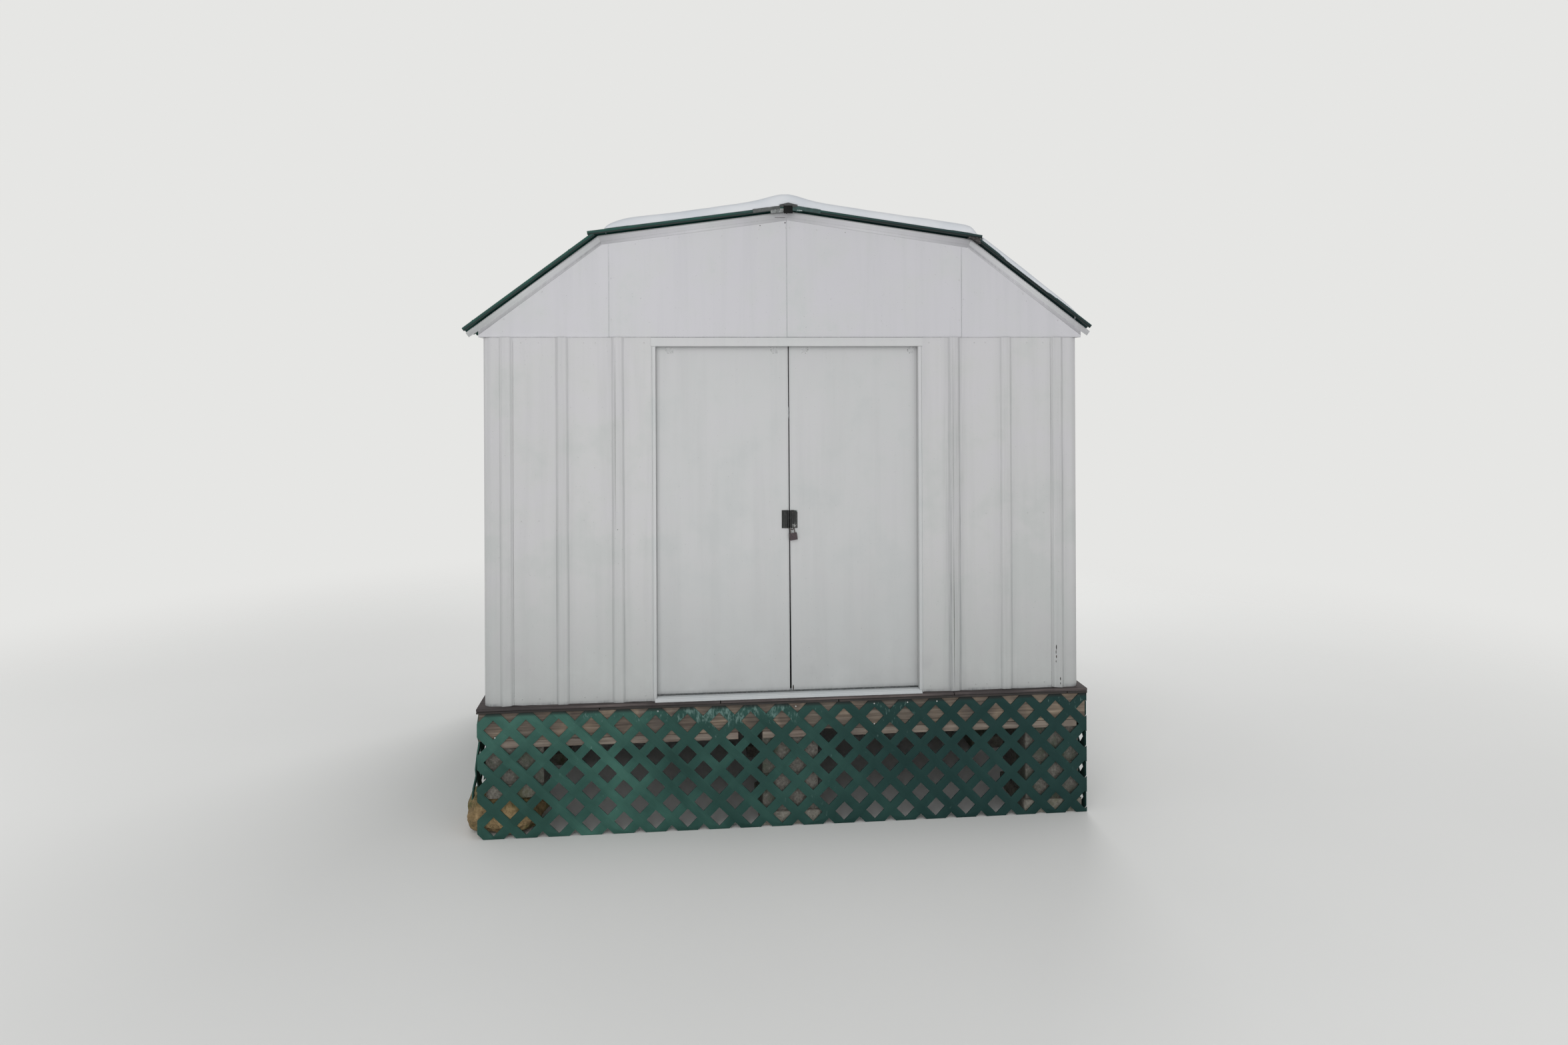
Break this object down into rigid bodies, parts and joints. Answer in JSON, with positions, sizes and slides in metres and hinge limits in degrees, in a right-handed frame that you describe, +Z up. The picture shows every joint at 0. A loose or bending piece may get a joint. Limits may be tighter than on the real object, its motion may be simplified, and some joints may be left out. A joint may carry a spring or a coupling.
{
  "type": "gambrel-roof steel storage shed on a skirted timber base",
  "caption": "Barn-roofed sheet-steel storage shed, white with green roof edges and sliding doors, on a timber platform over block piers skirted with green diagonal lattice.",
  "frame": {"origin": "on the ground, under the middle of the shed", "axes": "+Z up; -Y is the front with the doors; +X to the right seen from the front, along the front"},
  "size_m": [3.2619, 2.4264, 3.2573],
  "materials": {
    "concrete": "rough cast concrete",
    "fieldstone": "mossy fieldstone",
    "concrete_block": "rough pressed block",
    "sill_timber": "weathered grey softwood",
    "rim_timber": "weathered softwood",
    "dark_board": "dark sheathing board",
    "deck_board": "weathered plywood",
    "green_lattice": "green painted lattice, scuffed",
    "galvanised": "dull galvanised",
    "white_steel": "white baked enamel, lightly chalked",
    "white_trim": "white baked enamel",
    "door_steel": "white baked enamel",
    "green_steel": "dark green baked enamel",
    "snow": "matt settled snow",
    "hanger_steel": "plated steel with nylon rollers",
    "black_plastic": "black moulded plastic, worn",
    "lock_enamel": "dark enamel, weathered"
  },
  "bodies": {
    "shed": {"footing_slabs": "concrete", "corner_stone": "fieldstone", "lower_blocks": "concrete_block", "upper_blocks": "concrete_block", "sill_boards": "sill_timber", "long_rims": "rim_timber", "side_rims": "rim_timber", "floor_joists": "rim_timber", "subfloor_boards": "dark_board", "deck_sheets": "deck_board", "front_lattice": "green_lattice", "rear_lattice": "green_lattice", "left_lattice": "green_lattice", "right_lattice": "green_lattice", "threshold": "galvanised", "floor_frame": "galvanised", "front_corners": "white_steel", "rear_corners": "white_steel", "front_left_panel": "white_steel", "front_right_panel": "white_steel", "left_wall": "white_steel", "right_wall": "white_steel", "rear_wall": "white_steel", "wall_channels": "galvanised", "door_jambs": "white_trim", "door_header": "white_trim", "door_track": "galvanised", "rear_top_channel": "galvanised", "front_gable_ends": "white_steel", "front_gable_centres": "white_steel", "rear_gable": "white_steel", "gable_braces": "galvanised", "roof_beams": "galvanised", "eave_rails": "white_steel", "rake_trims": "white_trim", "lower_roof_sheets": "green_steel", "upper_roof_sheets": "green_steel", "ridge_cap": "green_steel", "upper_snow": "snow", "lower_snow": "snow"},
    "left_door_body": {"left_door": "door_steel", "left_door_braces": "galvanised", "left_door_hangers": "hanger_steel", "left_handle": "black_plastic"},
    "right_door_body": {"right_door": "door_steel", "right_door_braces": "galvanised", "right_door_hangers": "hanger_steel", "right_handle": "black_plastic", "padlock": "lock_enamel"}
  },
  "joints": [
    {"name": "left_door_slide", "type": "slide", "parent": "shed", "child": "left_door_body", "axis": [-1, 0, 0], "range_m": [0, 0.62]},
    {"name": "right_door_slide", "type": "slide", "parent": "shed", "child": "right_door_body", "axis": [1, 0, 0], "range_m": [0, 0.62]}
  ]
}
